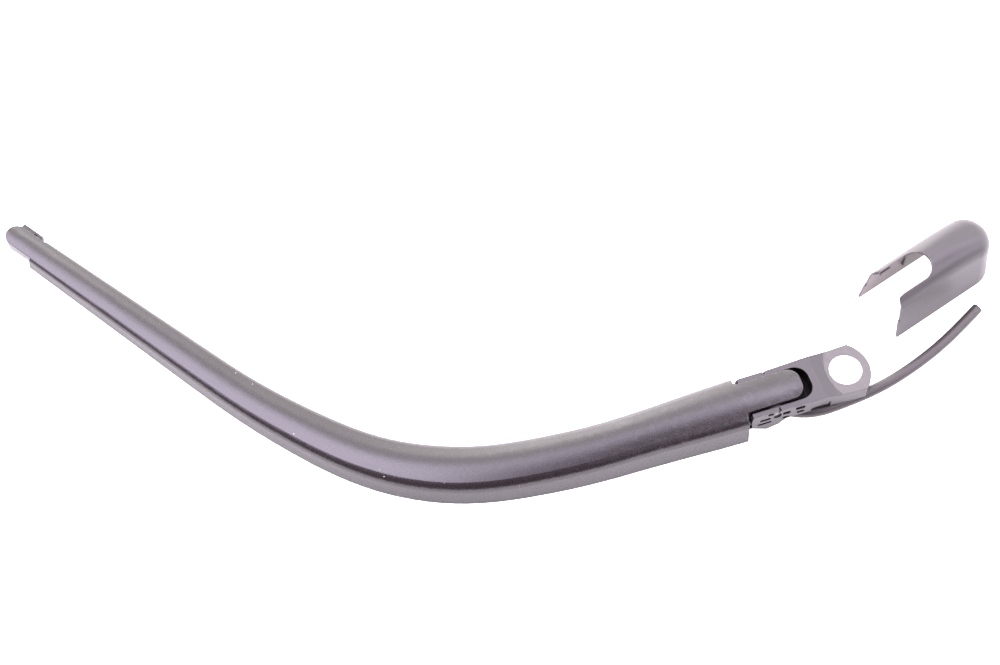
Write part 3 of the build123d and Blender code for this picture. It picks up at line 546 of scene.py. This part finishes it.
# Washer hose: extruded black rubber tube, pushed on the nozzle's barb under the arm, led past the hinge
# and cut off square. It lies on the table and its bore shows at the cut.
hose_radius, hose_bore, hose_sides = 0.00275, 0.0015, 24
hose_z = -0.01065
hose_route = (
    (-0.138, -0.0072),
    (-0.104, -0.0083),
    (-0.068, -0.0072),
    (-0.037, -0.0041),
    (-0.022, -0.0124),
    (-0.002, -0.0117),
    (0.019, -0.0091),
    (0.041, -0.0026),
    (0.0612, 0.0057),
    (0.0804, 0.0162),
)
line_data = bpy.data.curves.new("hose_line", "CURVE")
line_data.dimensions = "3D"
line_data.resolution_u = 20
spline = line_data.splines.new("NURBS")
spline.points.add(len(hose_route) - 1)
for point, (x, y) in zip(spline.points, hose_route):
    point.co = (x, y, hose_z, 1.0)
spline.order_u = 3
spline.use_endpoint_u = True
hose_line = new_object("hose_line", line_data)
bpy.context.view_layer.update()
line_mesh = bpy.data.meshes.new_from_object(hose_line.evaluated_get(bpy.context.evaluated_depsgraph_get()))
hose_path = [v.co.copy() for v in line_mesh.vertices]
bpy.data.objects.remove(hose_line)

# rings of points along the line, first for the outside and then for the bore
rings = len(hose_path)
up = Vector((0, 0, 1))
travelled = [0.0]
for a, b in zip(hose_path, hose_path[1:]):
    travelled.append(travelled[-1] + (b - a).length)
hose_points, hose_faces, hose_uvs = [], [], []
for radius in (hose_radius, hose_bore):
    for i, middle in enumerate(hose_path):
        way = (hose_path[min(i + 1, rings - 1)] - hose_path[max(i - 1, 0)]).normalized()
        side = way.cross(up).normalized()
        for k in range(hose_sides):
            turn = 2 * math.pi * k / hose_sides
            hose_points.append(middle + radius * (math.cos(turn) * side + math.sin(turn) * up))
# walls between the rings, then the cut faces at both ends
strips = [(wall + i, wall + i + 1, i, i + 1, wall > 0) for wall in (0, rings) for i in range(rings - 1)]
strips += [(i, rings + i, i, i, i == 0) for i in (0, rings - 1)]
for ring, next_ring, i, j, flip in strips:
    for k in range(hose_sides):
        n = (k + 1) % hose_sides
        quad = [ring * hose_sides + k, ring * hose_sides + n, next_ring * hose_sides + n, next_ring * hose_sides + k]
        uv = [(k, i), (k + 1, i), (k + 1, j), (k, j)]
        hose_faces.append(quad[::-1] if flip else quad)
        hose_uvs += uv[::-1] if flip else uv
hose_mesh = bpy.data.meshes.new("washer_hose_tube")
hose_mesh.from_pydata(hose_points, [], hose_faces)
uv_layer = hose_mesh.uv_layers.new(name="along")
for corner, (k, i) in enumerate(hose_uvs):
    uv_layer.data[corner].uv = (k / hose_sides, travelled[i])
cut_faces = 2 * hose_sides
for face in hose_mesh.polygons:
    face.use_smooth = len(hose_faces) - face.index > cut_faces
hose_mesh.set_sharp_from_angle(angle=math.radians(50))
washer_hose = new_object("washer_hose_tube", hose_mesh)

# extruded rubber: dull, with fine lines from the die along it and a faint bloom
lines_round, lines_per_metre, bloom_mm = 40.0, 60.0, 8.0
rubber, tree, surface = new_material("extruded_black_rubber")
along = add_node(tree, "ShaderNodeUVMap", {"uv_map": "along"})
drawn = add_node(tree, "ShaderNodeMapping", {"Scale": (lines_round, lines_per_metre, 1.0)},
                 {"Vector": along.outputs[0]})
lines = add_node(tree, "ShaderNodeTexNoise", {"Scale": 1.0, "Detail": 3.0}, {"Vector": drawn.outputs[0]})
place = add_node(tree, "ShaderNodeTexCoord").outputs["Object"]
bloom = add_node(tree, "ShaderNodeTexNoise", {"Scale": 1000 / bloom_mm, "Detail": 4.0}, {"Vector": place})
tone = add_node(tree, "ShaderNodeMix", {"data_type": "RGBA", 6: linear("#1B1615"), 7: linear("#262120")},
                {0: bloom.outputs["Fac"]})
gloss = add_node(tree, "ShaderNodeMapRange", {"To Min": 0.36, "To Max": 0.54}, {"Value": lines.outputs["Fac"]})
skin = add_node(tree, "ShaderNodeBump", {"Strength": 0.15, "Distance": 0.00005}, {"Height": lines.outputs["Fac"]})
shader = add_node(tree, "ShaderNodeBsdfPrincipled", {"IOR": 1.52},
                  {"Base Color": tone.outputs[2], "Roughness": gloss.outputs[0], "Normal": skin.outputs[0]})
tree.links.new(shader.outputs["BSDF"], surface)
hose_mesh.materials.append(rubber)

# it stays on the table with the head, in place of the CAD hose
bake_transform(washer_hose)
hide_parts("washer_hose")
